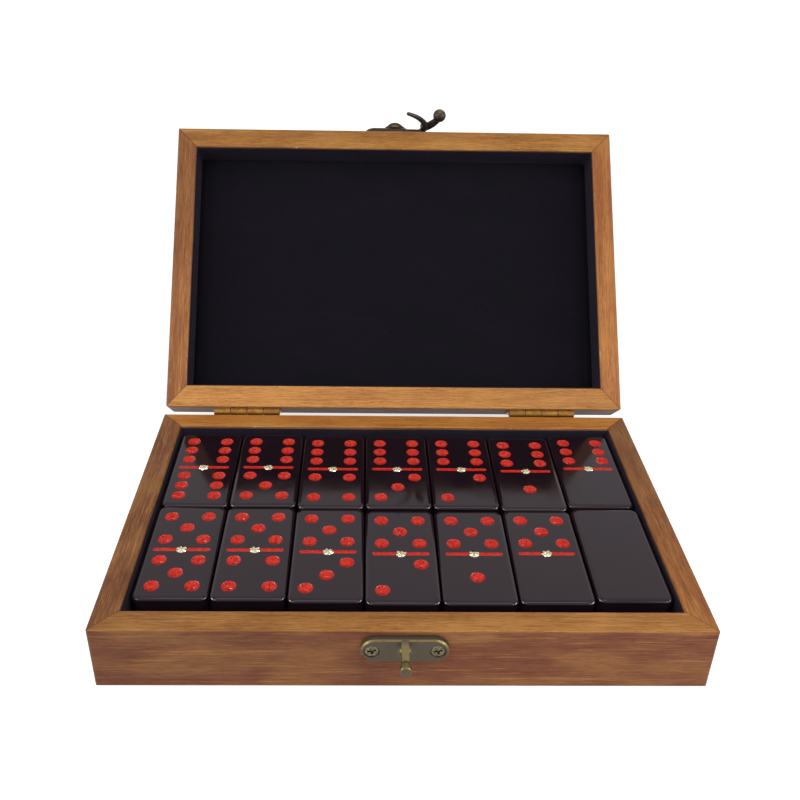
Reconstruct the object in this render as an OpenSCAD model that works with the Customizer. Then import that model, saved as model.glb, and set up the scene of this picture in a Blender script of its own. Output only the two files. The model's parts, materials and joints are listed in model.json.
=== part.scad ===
// A hinged storage box for a double-six domino set. The base and the lid are mitred hardwood
// frames round thin panels, lined with velvet. Twenty-eight tiles lie in two layers of fourteen.
// Two butt hinges join the back faces, and a cast swing hook closes the front. The lid is drawn
// standing open at its stop. Origin: the middle of the base's underside. X runs to the right,
// Y to the back and Z up, in millimetres.

/* [Tiles] */
// Width of one tile
tile_w = 25.1; // [20:0.1:32]
// Length of one tile
tile_l = 50; // [40:0.5:62]
// Thickness of one tile
tile_t = 9.5; // [7:0.1:12]
// Radius of a tile's upright corners
tile_corner = 2.8; // [1.5:0.1:4]
// Radius of the edges round a tile's faces
tile_edge = 1; // [0.5:0.1:1.4]
// Gap between tiles side by side
column_gap = 0.4; // [0.2:0.1:1.5]
// Gap between the two rows of tiles
row_gap = 1; // [0.5:0.1:3]

/* [Tile faces] */
// Radius of a pip
pip_r = 2.4; // [1.6:0.1:2.6]
// Depth of a pip
pip_depth = 0.9; // [0.4:0.1:1.4]
// Distance from a half's middle to its outer columns of pips
pip_column = 6.7; // [5:0.1:7.5]
// Distance from a half's middle to its outer rows of pips
pip_row = 6.5; // [5.4:0.1:7]
// Length of the bar between the halves
bar_l = 19.8; // [14:0.1:20]
// Width of the bar
bar_w = 1.4; // [1:0.1:2]
// Depth of the bar
bar_depth = 0.5; // [0.3:0.1:0.8]
// Radius of the metal spinner in the middle of the bar
spinner_r = 1.85; // [1.4:0.05:2.2]
// Height of the spinner above the tile's face
spinner_h = 0.6; // [0.3:0.05:0.8]

/* [Box] */
// Thickness of the side rails
side_rail = 8.6; // [7:0.1:12]
// Thickness of the front rails
front_rail = 9; // [8:0.1:12]
// Thickness of the back rails
back_rail = 9.6; // [8:0.1:12]
// Height of the lid
lid_h = 15.4; // [13:0.1:24]
// Thickness of the base's floor panel
floor_t = 2.2; // [1.8:0.1:4]
// Thickness of the lid's top panel
top_t = 2; // [1.6:0.1:3]
// How far the panels reach into the rails
rebate = 4; // [2:0.5:5]
// Thickness of the velvet lining
lining_t = 0.5; // [0.3:0.1:1.2]
// Free space between the end tiles and the lining
side_play = 0.85; // [0.4:0.05:3]
// Finger gap in front of the front row
front_play = 5.5; // [5:0.1:12]
// Free space behind the back row
back_play = 2.9; // [1.5:0.1:8]
// How far the upper tiles' faces lie below the rim
rim_drop = 1.75; // [1.2:0.05:5]
// Radius of the rim's edges
rim_edge = 0.7; // [0.3:0.1:1.2]
// Radius of the box's upright corners
box_corner = 1; // [0.5:0.1:2]
// Gap between the rims when the lid is closed
seam = 0.2; // [0.1:0.05:0.6]

/* [Hinges] */
// Angle from closed to the lid's stop
lid_open = 130; // [95:1:150]
// Length of a hinge
hinge_l = 28.3; // [22:0.1:40]
// Distance from a hinge's middle to the box's end
hinge_inset = 35.2; // [25:0.1:50]
// Radius of a hinge's knuckles
knuckle_r = 1.85; // [1.7:0.05:2]
// Radius of a hinge's pin
hinge_pin_r = 0.8; // [0.6:0.05:1]
// Thickness of a hinge's leaves
leaf_t = 0.9; // [0.6:0.05:1.1]
// Height of a leaf from the pin's axis to its far edge
leaf_h = 10; // [9:0.1:12]
// Gap between the knuckles and the back faces
knuckle_play = 0.21; // [0.2:0.01:0.5]

/* [Catch and latch] */
// Length of the two plates
plate_l = 27.7; // [24:0.1:34]
// Width of the two plates
plate_w = 9.3; // [8.8:0.1:11]
// Thickness of the two plates
plate_t = 2.4; // [2:0.1:2.6]
// Distance from a rim to the near edge of its plate
plate_inset = 1.6; // [1:0.1:2]
// Distance from a plate's end to its nearer screw
screw_inset = 3.45; // [3.2:0.05:4.2]
// Radius of the peg's neck
peg_neck_r = 1.3; // [1.1:0.05:1.5]
// Radius of the peg's head
peg_head_r = 1.85; // [1.7:0.05:2.2]
// How far the peg reaches from the wood
peg_reach = 11; // [10:0.1:13]
// Radius of the latch's pivot rivet under its head
rivet_r = 1.4; // [1.1:0.05:1.8]

/* [Hidden] */
columns = 7;
fit = 0.05;  // radial clearance of a running fit
lay = 0.1;  // gap under a tile that lies on velvet, and between flat moving faces
eps = 1;  // how far a cutter runs past what it cuts
$fn = 48;

box_w = columns * tile_w + (columns - 1) * column_gap + 2 * (side_play + lining_t + side_rail);
box_d = 2 * tile_l + row_gap + front_play + back_play + 2 * lining_t + front_rail + back_rail;
floor_z = floor_t + lining_t;
layer_step = tile_t + spinner_h + fit;
lower_z = floor_z + lay;
upper_z = lower_z + layer_step;
base_h = upper_z + tile_t + rim_drop;
front_row_y = -box_d / 2 + front_rail + lining_t + front_play + tile_l / 2;
column_step = tile_w + column_gap;
row_step = tile_l + row_gap;

hinge_offset = knuckle_r + knuckle_play;  // from the back faces to the pin's axis
hinge_y = box_d / 2 + hinge_offset;
hinge_x = box_w / 2 - hinge_inset;
hinge_screw_x = 8.6;
hinge_screw_z = 6.3;
hinge_bore_r = hinge_pin_r + fit;
knuckle_gap = 0.3;
segment = hinge_l / 4;
leaf_shank_r = 0.8;
leaf_head_r = 1.65;
leaf_hole_r = leaf_head_r + 0.15;  // radius of a leaf's countersink at its face
leaf_screw_l = 5;

plate_z = plate_inset + plate_w / 2;  // from a rim to the middle of its plate
peg_distance = 2 * plate_z + seam;  // from the latch's pivot to the peg
screw_pitch = plate_l - 2 * screw_inset;
plate_shank_r = 1.1;
plate_head_r = 2.4;
plate_screw_l = 5.6;
sunk = 0.25;  // how far below a plate's face its screws' heads end
low_step = 0.7;  // how much thinner the latch plate is where the hook swings over it
eye_r = 5;
eye_low = plate_t + lay;
eye_top = eye_low + 1.15;
dome_r = 4;
dome_h = 2.8;

// The hook's claw is a spiral about the pivot, from close to the peg's neck out to its tip.
claw_start = 8;
claw_end = 70;
claw_r = 1.4;
claw_z = plate_t + claw_r + 3 * fit;
tip_r = 0.8;

half_y = 12.1 / 25 * tile_l / 2;  // from a tile's bar to a half's middle
pin_r = 0.9;
pin_l = 3;

// How far each column's tiles have slid to the back from their row's line, left to right.
front_slip = [1, 0.9, 0.1, -0.8, -0.8, -0.4, 0];
back_slip = [0.3, 0.5, -0.4, -0.2, -0.2, -1.1, 0.9];

// Values of the tiles, left to right, back half first. The last upper front tile lies face down.
upper_back = [[6, 6], [6, 5], [6, 4], [6, 3], [6, 2], [6, 1], [6, 0]];
upper_front = [[5, 5], [5, 4], [5, 3], [5, 2], [5, 1], [5, 0], [0, 0]];
lower_back = [[4, 4], [4, 3], [4, 2], [4, 1], [4, 0], [3, 3], [3, 2]];
lower_front = [[3, 1], [3, 0], [2, 2], [2, 1], [2, 0], [1, 1], [1, 0]];

NODES = [
    "base_front_rail", "base_back_rail", "base_left_rail", "base_right_rail",
    "base_floor_panel", "base_floor_lining", "base_wall_lining",
    "lid_front_rail", "lid_back_rail", "lid_left_rail", "lid_right_rail",
    "lid_top_panel", "lid_top_lining", "lid_wall_lining",
    "left_hinge_base_leaf", "left_hinge_lid_leaf", "left_hinge_pin",
    "right_hinge_base_leaf", "right_hinge_lid_leaf", "right_hinge_pin",
    "hinge_base_screws", "hinge_lid_screws",
    "catch_plate", "catch_screws", "latch_plate", "latch_screws", "latch_rivet", "latch_hook",
    "tile_6_6", "tile_6_5", "tile_6_4", "tile_6_3", "tile_6_2", "tile_6_1", "tile_6_0",
    "tile_5_5", "tile_5_4", "tile_5_3", "tile_5_2", "tile_5_1", "tile_5_0", "tile_0_0",
    "tile_4_4", "tile_4_3", "tile_4_2", "tile_4_1", "tile_4_0", "tile_3_3", "tile_3_2",
    "tile_3_1", "tile_3_0", "tile_2_2", "tile_2_1", "tile_2_0", "tile_1_1", "tile_1_0",
];

// ---------------------------------------------------------------- places

// Turns the lid's pieces from closed to the stop, about the hinge pins.
module in_lid() {
    translate([0, hinge_y, base_h])
        rotate([-lid_open, 0, 0])
            translate([0, -hinge_y, -base_h])
                children();
}

// A frame on the front face, height z above the table: X right, Y up and Z out of the face.
module on_front(z) {
    translate([0, -box_d / 2, z])
        rotate([90, 0, 0])
            children();
}

// A frame on the back face, height z above the table: X left, Y up and Z out of the face.
module on_back(x, z) {
    translate([x, box_d / 2, z])
        rotate([90, 0, 180])
            children();
}

// ---------------------------------------------------------------- carcass

// What is left of a square corner outside a round one of radius r.
module corner_cutter(r) {
    difference() {
        translate([-eps, -eps]) square(r + eps);
        translate([r, r]) circle(r);
    }
}

// Outline of the box seen from above, with round corners.
module carcass_outline() {
    difference() {
        square([box_w, box_d], center = true);
        for (x = [0, 1], y = [0, 1])
            mirror([x, 0]) mirror([0, y])
                translate([-box_w / 2, -box_d / 2]) corner_cutter(box_corner);
    }
}

// Section of a rail: outer face at X = 0, rim at the top, and the panel's rebate at the bottom.
module rail_section(w, h, panel_t) {
    difference() {
        square([w, h]);
        translate([0, h]) mirror([0, 1]) corner_cutter(rim_edge);
        translate([w, h]) rotate(180) corner_cutter(rim_edge);
        corner_cutter(rim_edge);
        translate([w - rebate, -eps]) square([rebate + eps, panel_t + eps]);
    }
}

// A rail along a side of the box: length l, thickness w, and m the thickness of its neighbours.
// It lies along X with its outer face at Y = 0 and its rim up, mitred at both ends.
module rail(l, w, m, h, panel_t) {
    slope = m / w;
    intersection() {
        rotate([90, 0, 90])
            linear_extrude(l, center = true) rail_section(w, h, panel_t);
        translate([0, 0, -eps])
            linear_extrude(h + 2 * eps)
                polygon([
                    [-l / 2 - slope * eps, -eps], [l / 2 + slope * eps, -eps],
                    [l / 2 - slope * (w + eps), w + eps], [-l / 2 + slope * (w + eps), w + eps],
                ]);
    }
}

// A rail in its place on the base: side is front, back, left or right.
module placed_rail(side, h, panel_t) {
    intersection() {
        if (side == "front")
            translate([0, -box_d / 2]) rail(box_w, front_rail, side_rail, h, panel_t);
        else if (side == "back")
            translate([0, box_d / 2]) rotate(180)
                rail(box_w, back_rail, side_rail, h, panel_t);
        else
            mirror([side == "left" ? 0 : 1, 0])
                side_bar(h, panel_t);
        translate([0, 0, -2 * eps]) linear_extrude(h + 4 * eps) carcass_outline();
    }
}

// The left rail, whose two mitres differ because the front and back rails do.
module side_bar(h, panel_t) {
    intersection() {
        translate([-box_w / 2, 0]) mirror([1, 0]) rotate([90, 0, 180])
            linear_extrude(box_d, center = true) rail_section(side_rail, h, panel_t);
        translate([-box_w / 2, 0, -eps])
            linear_extrude(h + 2 * eps)
                polygon([
                    [-eps, -box_d / 2 - eps * front_rail / side_rail],
                    [side_rail + eps, -box_d / 2 + (side_rail + eps) * front_rail / side_rail],
                    [side_rail + eps, box_d / 2 - (side_rail + eps) * back_rail / side_rail],
                    [-eps, box_d / 2 + eps * back_rail / side_rail],
                ]);
    }
}

// The lid's frame is the base's, turned over onto the seam.
module lid_from_base() {
    in_lid()
        translate([0, 0, base_h + seam + lid_h])
            mirror([0, 0, 1])
                children();
}

// A panel that fills the rebates of a frame, from its outer side.
module panel(t) {
    w = box_w - 2 * (side_rail - rebate + lay);
    front = -box_d / 2 + front_rail - rebate + lay;
    back = box_d / 2 - back_rail + rebate - lay;
    translate([-w / 2, front, 0]) cube([w, back - front, t]);
}

// The space inside a frame's walls, shrunk by skin on every side.
module inside(skin, low, high) {
    w = box_w - 2 * (side_rail + skin);
    front = -box_d / 2 + front_rail + skin;
    back = box_d / 2 - back_rail - skin;
    translate([-w / 2, front, low]) cube([w, back - front, high - low]);
}

module floor_lining(panel_t) {
    inside(0, panel_t, panel_t + lining_t);
}

module wall_lining(panel_t, h) {
    difference() {
        inside(0, panel_t + lining_t, h - rim_edge);
        inside(lining_t, panel_t, h);
    }
}

// ---------------------------------------------------------------- hinges

// One leaf of a hinge: axis along X at the origin and the wood's face at Y = -hinge_offset. It
// reaches down, and owns the first and third knuckles where first is 0, or the others at 1.
module hinge_leaf(first) {
    clear = knuckle_r + 0.35;
    difference() {
        union() {
            translate([0, leaf_t - hinge_offset, 0]) rotate([90, 0, 0])
                linear_extrude(leaf_t) leaf_outline(clear);
            for (k = [first, first + 2]) {
                x = -hinge_l / 2 + k * segment + knuckle_gap / 2;
                translate([x, 0, 0]) rotate([0, 90, 0])
                    cylinder(r = knuckle_r, h = segment - knuckle_gap);
                translate([x, -hinge_offset, -clear - leaf_t])
                    cube([segment - knuckle_gap, leaf_t, clear + leaf_t - 0.6]);
            }
        }
        translate([-hinge_l / 2 - eps, 0, 0]) rotate([0, 90, 0])
            cylinder(r = hinge_bore_r, h = hinge_l + 2 * eps);
        for (x = [-hinge_screw_x, hinge_screw_x])
            translate([x, -hinge_offset, -hinge_screw_z]) rotate([-90, 0, 0])
                screw_hole(leaf_shank_r, leaf_hole_r, leaf_t);
    }
}

module leaf_outline(clear) {
    difference() {
        translate([-hinge_l / 2, -leaf_h]) square([hinge_l, leaf_h - clear]);
        for (x = [0, 1])
            mirror([x, 0]) translate([-hinge_l / 2, -leaf_h]) corner_cutter(1.2);
    }
}

module hinge_pin() {
    translate([-hinge_l / 2, 0, 0]) rotate([0, 90, 0])
        cylinder(r = hinge_pin_r, h = hinge_l);
}

module at_hinge(side) {
    translate([side * hinge_x, hinge_y, base_h]) children();
}

// The lid's leaf is the base's turned over.
module lid_leaf() {
    mirror([0, 0, 1]) hinge_leaf(0);
}

// Places a child at the screws of both hinges, on the base (up = -1) or on the closed lid (1).
module at_hinge_screws(up) {
    for (side = [-1, 1], x = [-hinge_screw_x, hinge_screw_x])
        on_back(side * hinge_x + x, base_h + up * hinge_screw_z) children();
}

// ---------------------------------------------------------------- screws and plates

// A countersunk hole through a plate of thickness t, whose outer face is at Z = t.
module screw_hole(shank_r, head_r, t) {
    clear = shank_r + 2 * fit;
    depth = head_r - shank_r;
    translate([0, 0, -eps]) cylinder(r = clear, h = t + 2 * eps);
    translate([0, 0, t - depth]) cylinder(r1 = clear, r2 = clear + depth + eps, h = depth + eps);
}

// A cross-headed screw whose countersunk head ends at Z = top. It reaches length below Z = 0.
module screw(shank_r, head_r, top, length) {
    depth = head_r - shank_r;
    difference() {
        union() {
            translate([0, 0, -length]) cylinder(r = shank_r, h = length + top - fit);
            translate([0, 0, top - depth - fit])
                cylinder(r1 = shank_r, r2 = head_r, h = depth);
        }
        for (a = [0, 90])
            rotate(a + 12) translate([-head_r * 0.62, -head_r * 0.17, top - fit - depth * 0.7])
                cube([head_r * 1.24, head_r * 0.34, depth + eps]);
    }
}

// Pilot hole in the wood for a screw, from the face inwards.
module pilot(shank_r, length) {
    translate([0, 0, -length - 0.3]) cylinder(r = shank_r + fit, h = length + 0.3 + eps);
}

// A cast plate with round ends and a bevelled edge, on a frame's X and Y with its back at Z = 0.
module round_ended_plate() {
    bevel = 0.5;
    r = plate_w / 2;
    reach = plate_l / 2 - r;
    for (x = [-reach, reach])
        translate([x, 0, 0])
            rotate_extrude()
                polygon([[0, 0], [r, 0], [r, plate_t - bevel], [r - bevel, plate_t], [0, plate_t]]);
    translate([-reach, 0, 0]) rotate([90, 0, 90])
        linear_extrude(2 * reach)
            polygon([
                [-r, 0], [r, 0], [r, plate_t - bevel], [r - bevel, plate_t],
                [bevel - r, plate_t], [-r, plate_t - bevel],
            ]);
}

module at_plate_screws() {
    for (x = [-screw_pitch / 2, screw_pitch / 2])
        translate([x, 0, 0]) children();
}

module drilled_plate() {
    difference() {
        round_ended_plate();
        at_plate_screws() screw_hole(plate_shank_r, plate_head_r, plate_t);
    }
}

module plate_screws() {
    at_plate_screws() screw(plate_shank_r, plate_head_r - sunk, plate_t - sunk, plate_screw_l);
}

// The peg that the hook catches: a flared root, a neck and a stubby head with a rounded end.
module peg() {
    flare = 2;
    head_l = 2.3;
    taper = 1.2;
    round_r = 0.6;
    head_z = peg_reach - head_l;
    rotate_extrude()
        difference() {
            square([peg_neck_r + flare, head_z]);
            translate([peg_neck_r + flare, plate_t + flare]) circle(flare);
            translate([peg_neck_r, plate_t + flare]) square([2 * flare, head_z]);
        }
    translate([0, 0, head_z - taper]) cylinder(r1 = peg_neck_r, r2 = peg_head_r, h = taper);
    translate([0, 0, head_z])
        rotate_extrude() {
            square([peg_head_r, head_l - round_r]);
            square([peg_head_r - round_r, head_l]);
            translate([peg_head_r - round_r, head_l - round_r])
                intersection() {
                    circle(round_r);
                    square(round_r);
                }
        }
    peg_rib(head_z - taper);
}

// The rib that leans from the plate's upper edge to the peg's neck, height top above the wood.
module peg_rib(top) {
    rib_w = 2.3;
    far = plate_w / 2 - 0.1;
    translate([-rib_w / 2, 0, 0])
        rotate([90, 0, 90])
            linear_extrude(rib_w)
                polygon([
                    [0, plate_t / 2], [far - 0.5, plate_t / 2], [far, plate_t - 0.4],
                    [far - 0.2, plate_t + 0.3], [peg_neck_r * 0.8, top], [0, top],
                ]);
}

// ---------------------------------------------------------------- hook

// A point at t on a curve with four control points.
function bezier(p, t) = pow(1 - t, 3) * p[0] + 3 * t * pow(1 - t, 2) * p[1]
    + 3 * t * t * (1 - t) * p[2] + pow(t, 3) * p[3];

function unit(v) = v / norm(v);

// A ring of points round a path's point, square to the way along it.
function ring(at, along, r, sides) =
    let (side = unit(cross(along, [0, 0, 1])), up = cross(side, along))
    [for (k = [0:sides - 1]) at + r * (cos(360 * k / sides) * side + sin(360 * k / sides) * up)];

// A closed bar along path, whose radius at each point is in radii.
module bar_along(path, radii, sides = 12) {
    last = len(path) - 1;
    rings = [for (i = [0:last])
        each ring(path[i], unit(path[min(i + 1, last)] - path[max(i - 1, 0)]), radii[i], sides)];
    around = [for (i = [0:last - 1], k = [0:sides - 1])
        let (a = i * sides + k, b = i * sides + (k + 1) % sides)
        each [[a, b, a + sides], [b, b + sides, a + sides]]];
    near_cap = [for (k = [1:sides - 2]) [0, k + 1, k]];
    far_cap = [for (k = [1:sides - 2]) [last * sides, last * sides + k, last * sides + k + 1]];
    polyhedron(rings, concat(around, near_cap, far_cap), convexity = 4);
}

// Distance from the pivot to the middle of the claw, angle degrees round from its level.
function claw_radius(angle) =
    peg_distance + peg_neck_r + 0.3 + 1.9 * pow(angle / claw_end, 1.5);
function claw(angle) =
    [claw_radius(angle) * cos(angle), -claw_radius(angle) * sin(angle), claw_z];

module hook() {
    steps = 16;
    knob_r = 2.9;
    fork = [peg_distance, 0, claw_z];
    shank = [[3, 1.4, eye_low + 0.6], [6.5, 3.6, claw_z - 0.62], fork + [0.1, 4, 0], claw(claw_start)];
    lever = [for (p = [[-0.3, -0.8, 0.5], [2.9, -2, 0.5], [5.9, -4.4, 1.05], [7.5, -8, 2.35]]) fork + p];
    claw_path = concat(
        [for (i = [0:steps - 1]) bezier(shank, i / steps)],
        [for (i = [0:steps]) claw(claw_start + (claw_end - claw_start) * i / steps)],
        [claw(claw_end + 1.4), claw(claw_end + 2.4)]
    );
    claw_radii = concat(
        [for (i = [0:steps - 1]) 0.5 + (claw_r - 0.5) * pow(i / steps, 0.8)],
        [for (i = [0:steps]) claw_r - (claw_r - tip_r) * pow(i / steps, 1.3)],
        [tip_r * 0.8, tip_r * 0.4]
    );
    bar_along(claw_path, claw_radii);
    bar_along(
        [for (i = [0:steps]) bezier(lever, i / steps)],
        [for (i = [0:steps]) 1.9 - 0.4 * i / steps]
    );
    translate(lever[3] + [0, -0.6, 0.3]) sphere(knob_r);
    difference() {
        translate([0, 0, eye_low]) cylinder(r = eye_r, h = eye_top - eye_low);
        cylinder(r = rivet_r + fit, h = 3 * eye_top, center = true);
    }
}

// ---------------------------------------------------------------- tiles

// Places of a half's pips in columns and rows. The diagonal runs from upper right.
function pips(n) = concat(
    n % 2 == 1 ? [[0, 0]] : [],
    n > 1 ? [[1, 1], [-1, -1]] : [],
    n > 3 ? [[-1, 1], [1, -1]] : [],
    n == 6 ? [[-1, 0], [1, 0]] : []
);

module round_edged(w, h, r) {
    difference() {
        translate([-w / 2, 0]) square([w, h]);
        for (x = [0, 1], y = [0, 1])
            mirror([x, 0]) translate([-w / 2, y * h]) mirror([0, y]) corner_cutter(r);
    }
}

// A blank tile with its underside at Z = 0, rounded at its corners and round both faces.
module blank_tile() {
    long = tile_l - 2 * tile_corner;
    wide = tile_w - 2 * tile_corner;
    rotate([90, 0, 0])
        linear_extrude(long, center = true) round_edged(tile_w, tile_t, tile_edge);
    rotate([90, 0, 90])
        linear_extrude(wide, center = true) round_edged(tile_l, tile_t, tile_edge);
    for (x = [-1, 1], y = [-1, 1])
        translate([x * wide / 2, y * long / 2, 0])
            rotate_extrude()
                intersection() {
                    round_edged(2 * tile_corner, tile_t, tile_edge);
                    square([tile_corner, tile_t]);
                }
}

// The bar's groove, with round ends.
module bar_groove() {
    reach = (bar_l - bar_w) / 2;
    translate([-reach, -bar_w / 2, tile_t - bar_depth]) cube([2 * reach, bar_w, bar_depth + eps]);
    for (x = [-reach, reach])
        translate([x, 0, tile_t - bar_depth]) cylinder(r = bar_w / 2, h = bar_depth + eps);
}

module spinner() {
    translate([0, 0, tile_t])
        rotate_extrude()
            polygon([
                [0, -pin_l], [pin_r, -pin_l], [pin_r, fit], [spinner_r, fit],
                [spinner_r, spinner_h * 0.3],
                [spinner_r * 0.72, spinner_h * 0.8], [spinner_r * 0.35, spinner_h], [0, spinner_h],
            ]);
}

// A tile with its back half's value first, and its spinner.
module tile(back_value, front_value) {
    difference() {
        blank_tile();
        for (half = [-1, 1], p = pips(half > 0 ? back_value : front_value))
            translate([p[0] * pip_column, half * half_y + p[1] * pip_row, tile_t - pip_depth])
                cylinder(r1 = 0, r2 = pip_r * (1 + eps / pip_depth), h = pip_depth + eps);
        bar_groove();
        translate([0, 0, tile_t - pin_l - fit])
            cylinder(r = pin_r + fit, h = pin_l + fit + eps);
    }
    spinner();
}

module tile_at(column, row, z, slip) {
    translate([(column - (columns - 1) / 2) * column_step, front_row_y + row * row_step + slip, z])
        children();
}

// The tile of a layer's row whose node has this name, in its place.
module row_tile(values, name, row, z, slips) {
    for (i = [0:columns - 1])
        if (name == str("tile_", values[i][0], "_", values[i][1]))
            tile_at(i, row, z, slips[i])
                if (name == "tile_0_0") face_down_tile();
                else tile(values[i][0], values[i][1]);
}

// A tile on its face, whose spinner stands on the spinner of the tile below.
module face_down_tile() {
    translate([0, 0, tile_t + spinner_h]) rotate([0, 180, 0]) tile(0, 0);
}

// The tile whose node has this name. Other names draw nothing here.
module named_tile(name) {
    color([0.09, 0.08, 0.09]) {
        row_tile(upper_back, name, 1, upper_z, back_slip);
        row_tile(upper_front, name, 0, upper_z, front_slip);
        row_tile(lower_back, name, 1, lower_z, back_slip);
        row_tile(lower_front, name, 0, lower_z, front_slip);
    }
}

// ---------------------------------------------------------------- sub-parts

module base_front_rail() {
    color([0.55, 0.34, 0.2])
        difference() {
            placed_rail("front", base_h, floor_t);
            on_front(base_h - plate_z) at_plate_screws() pilot(plate_shank_r, plate_screw_l);
        }
}

module base_back_rail() {
    color([0.6, 0.38, 0.21])
        difference() {
            placed_rail("back", base_h, floor_t);
            at_hinge_screws(-1) pilot(leaf_shank_r, leaf_screw_l);
        }
}

module base_left_rail() {
    color([0.5, 0.32, 0.2]) placed_rail("left", base_h, floor_t);
}

module base_right_rail() {
    color([0.56, 0.36, 0.21]) placed_rail("right", base_h, floor_t);
}

module base_floor_panel() {
    color([0.62, 0.46, 0.3]) panel(floor_t);
}

module base_floor_lining() {
    color([0.1, 0.08, 0.14]) floor_lining(floor_t);
}

module base_wall_lining() {
    color([0.1, 0.08, 0.14]) wall_lining(floor_t, base_h);
}

module lid_front_rail() {
    color([0.66, 0.46, 0.24])
        difference() {
            lid_from_base() placed_rail("front", lid_h, top_t);
            in_lid() on_front(base_h + seam + plate_z) {
                at_plate_screws() pilot(plate_shank_r, plate_screw_l);
            }
        }
}

module lid_back_rail() {
    color([0.66, 0.46, 0.24])
        difference() {
            lid_from_base() placed_rail("back", lid_h, top_t);
            in_lid() at_hinge_screws(1) pilot(leaf_shank_r, leaf_screw_l);
        }
}

module lid_left_rail() {
    color([0.68, 0.47, 0.25]) lid_from_base() placed_rail("left", lid_h, top_t);
}

module lid_right_rail() {
    color([0.66, 0.45, 0.24]) lid_from_base() placed_rail("right", lid_h, top_t);
}

module lid_top_panel() {
    color([0.62, 0.46, 0.3]) lid_from_base() panel(top_t);
}

module lid_top_lining() {
    color([0.1, 0.08, 0.14]) lid_from_base() floor_lining(top_t);
}

module lid_wall_lining() {
    color([0.1, 0.08, 0.14]) lid_from_base() wall_lining(top_t, lid_h);
}

module left_hinge_base_leaf() {
    color([0.66, 0.48, 0.2]) at_hinge(-1) hinge_leaf(1);
}

module left_hinge_lid_leaf() {
    color([0.66, 0.48, 0.2]) in_lid() at_hinge(-1) lid_leaf();
}

module left_hinge_pin() {
    color([0.6, 0.42, 0.16]) at_hinge(-1) hinge_pin();
}

module right_hinge_base_leaf() {
    color([0.66, 0.48, 0.2]) at_hinge(1) hinge_leaf(1);
}

module right_hinge_lid_leaf() {
    color([0.66, 0.48, 0.2]) in_lid() at_hinge(1) lid_leaf();
}

module right_hinge_pin() {
    color([0.6, 0.42, 0.16]) at_hinge(1) hinge_pin();
}

module hinge_base_screws() {
    color([0.62, 0.46, 0.2]) at_hinge_screws(-1) screw(leaf_shank_r, leaf_head_r, leaf_t, leaf_screw_l);
}

module hinge_lid_screws() {
    color([0.62, 0.46, 0.2])
        in_lid() at_hinge_screws(1) screw(leaf_shank_r, leaf_head_r, leaf_t, leaf_screw_l);
}

module catch_plate() {
    color([0.4, 0.36, 0.29])
        on_front(base_h - plate_z) {
            drilled_plate();
            peg();
        }
}

module catch_screws() {
    color([0.45, 0.42, 0.33]) on_front(base_h - plate_z) plate_screws();
}

module latch_plate() {
    color([0.36, 0.32, 0.25])
        in_lid() on_front(base_h + seam + plate_z)
            difference() {
                drilled_plate();
                translate([eye_r + lay, -plate_w, plate_t - low_step])
                    cube([plate_l, 2 * plate_w, plate_t]);
                cylinder(r = rivet_r + fit, h = 3 * plate_t, center = true);
            }
}

module latch_screws() {
    color([0.45, 0.42, 0.33])
        in_lid() on_front(base_h + seam + plate_z) {
            translate([-screw_pitch / 2, 0, 0])
                screw(plate_shank_r, plate_head_r - sunk, plate_t - sunk, plate_screw_l);
            translate([screw_pitch / 2, 0, 0])
                screw(plate_shank_r, plate_head_r - low_step, plate_t - low_step, plate_screw_l);
        }
}

module latch_rivet() {
    color([0.3, 0.26, 0.2])
        in_lid() on_front(base_h + seam + plate_z) {
            translate([0, 0, fit]) cylinder(r = rivet_r, h = eye_top + lay);
            translate([0, 0, eye_top + fit])
                rotate_extrude()
                    intersection() {
                        scale([dome_r / dome_h, 1]) circle(dome_h);
                        square([dome_r, dome_h]);
                    }
        }
}

module latch_hook() {
    color([0.27, 0.24, 0.19]) in_lid() on_front(base_h + seam + plate_z) hook();
}

base_front_rail();
base_back_rail();
base_left_rail();
base_right_rail();
base_floor_panel();
base_floor_lining();
base_wall_lining();
lid_front_rail();
lid_back_rail();
lid_left_rail();
lid_right_rail();
lid_top_panel();
lid_top_lining();
lid_wall_lining();
left_hinge_base_leaf();
left_hinge_lid_leaf();
left_hinge_pin();
right_hinge_base_leaf();
right_hinge_lid_leaf();
right_hinge_pin();
hinge_base_screws();
hinge_lid_screws();
catch_plate();
catch_screws();
latch_plate();
latch_screws();
latch_rivet();
latch_hook();
for (name = NODES)
    named_tile(name);
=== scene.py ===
"""The looks of a hinged wooden domino box: oiled hardwood rails, dark velvet linings, polished
black tiles with faceted red pips, bright hinges and darkened brass hardware."""

import json
import math
import random

import bmesh
import bpy
from mathutils import Matrix, Vector, noise


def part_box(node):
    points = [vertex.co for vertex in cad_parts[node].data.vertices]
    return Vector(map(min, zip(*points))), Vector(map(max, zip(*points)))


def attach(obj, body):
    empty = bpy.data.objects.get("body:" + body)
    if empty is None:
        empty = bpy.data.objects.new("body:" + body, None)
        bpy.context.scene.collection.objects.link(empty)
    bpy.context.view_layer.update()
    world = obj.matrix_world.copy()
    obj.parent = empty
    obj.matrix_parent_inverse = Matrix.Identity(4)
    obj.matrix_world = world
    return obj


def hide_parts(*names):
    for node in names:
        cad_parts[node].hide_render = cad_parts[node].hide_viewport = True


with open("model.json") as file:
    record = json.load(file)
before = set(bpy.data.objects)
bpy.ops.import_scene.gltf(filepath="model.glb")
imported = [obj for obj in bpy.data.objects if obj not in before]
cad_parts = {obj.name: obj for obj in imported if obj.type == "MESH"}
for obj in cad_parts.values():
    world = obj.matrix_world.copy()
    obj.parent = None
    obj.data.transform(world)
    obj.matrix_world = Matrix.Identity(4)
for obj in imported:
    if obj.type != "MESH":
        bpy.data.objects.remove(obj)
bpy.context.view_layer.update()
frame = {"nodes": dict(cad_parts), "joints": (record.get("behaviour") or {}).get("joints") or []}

MM = 0.001
NODES = frame["nodes"]

# ---------------------------------------------------------------- camera

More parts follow.
